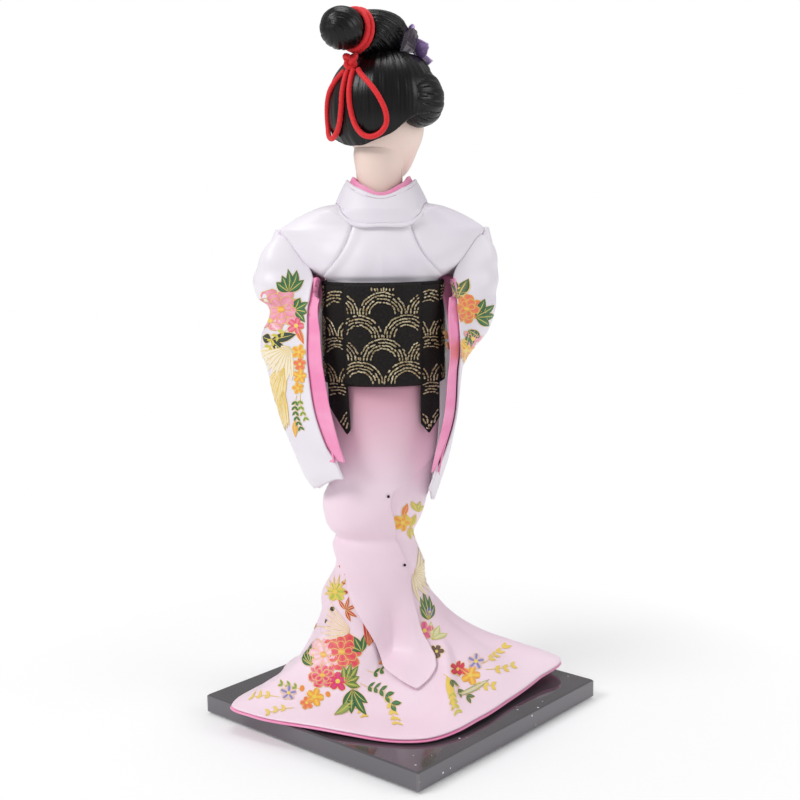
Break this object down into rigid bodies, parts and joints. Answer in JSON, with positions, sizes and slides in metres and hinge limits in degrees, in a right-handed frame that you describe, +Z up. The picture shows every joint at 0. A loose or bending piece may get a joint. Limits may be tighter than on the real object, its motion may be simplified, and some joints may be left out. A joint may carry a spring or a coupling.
{
  "type": "doll",
  "caption": "Display doll of a standing geisha in a printed satin kimono with a train, brocade sash and dressed hair, on a square base; the head turns on its neck peg.",
  "frame": {"origin": "middle of the base plate's underside", "axes": "+Z up through the doll, X and Y along the sides of the square base; the head faces -Y"},
  "size_m": [0.1236, 0.1276, 0.2981],
  "materials": {
    "lacquer": "black high gloss lacquer",
    "steel": "plain steel",
    "wood": "bare softwood",
    "padding": "cotton over foam",
    "skin": "smooth pale vinyl",
    "hair": "black synthetic hair, combed and lacquered",
    "red_cord": "braided satin cord",
    "petal_satin": "lilac satin",
    "sheer_ribbon": "dark sheer ribbon",
    "white_satin": "white satin with printed flowers",
    "pink_satin": "pale pink satin with printed flowers",
    "lining_pink": "plain pink satin",
    "brocade": "black brocade with a gold wave weave"
  },
  "bodies": {
    "figure": {"base_plate": "lacquer", "base_screw_left": "steel", "base_screw_right": "steel", "foot_block": "wood", "leg_post": "wood", "hip_form": "padding", "torso_form": "padding", "bust": "skin", "skirt": "pink_satin", "skirt_panel": "pink_satin", "hem_lining": "lining_pink", "bodice": "white_satin", "outer_collar": "white_satin", "inner_collar": "lining_pink", "arm_left": "padding", "arm_right": "padding", "hand_left": "skin", "hand_right": "skin", "sleeve_left": "white_satin", "sleeve_right": "white_satin", "sleeve_lining_left": "lining_pink", "sleeve_lining_right": "lining_pink", "obi_band": "brocade", "obi_panel": "brocade", "obi_tail_left": "brocade", "obi_tail_right": "brocade"},
    "head": {"head": "skin", "hair_back": "hair", "hair_front": "hair", "hair_side_left": "hair", "hair_side_right": "hair", "hair_mound": "hair", "hair_bun": "hair", "hair_cord_wrap": "red_cord", "hair_cord_knot": "red_cord", "hair_cord_loop_left": "red_cord", "hair_cord_loop_right": "red_cord", "flower_petal_1": "petal_satin", "flower_petal_2": "petal_satin", "flower_petal_3": "petal_satin", "flower_petal_4": "petal_satin", "flower_petal_5": "petal_satin", "flower_core": "petal_satin", "flower_pin": "steel", "hair_ribbon": "sheer_ribbon"}
  },
  "joints": [
    {"name": "head_turn", "type": "hinge", "parent": "figure", "child": "head", "pos_m": [0.01293, -0.00464, 0.2], "axis": [0, 0, 1], "range_deg": [-30, 110]}
  ]
}
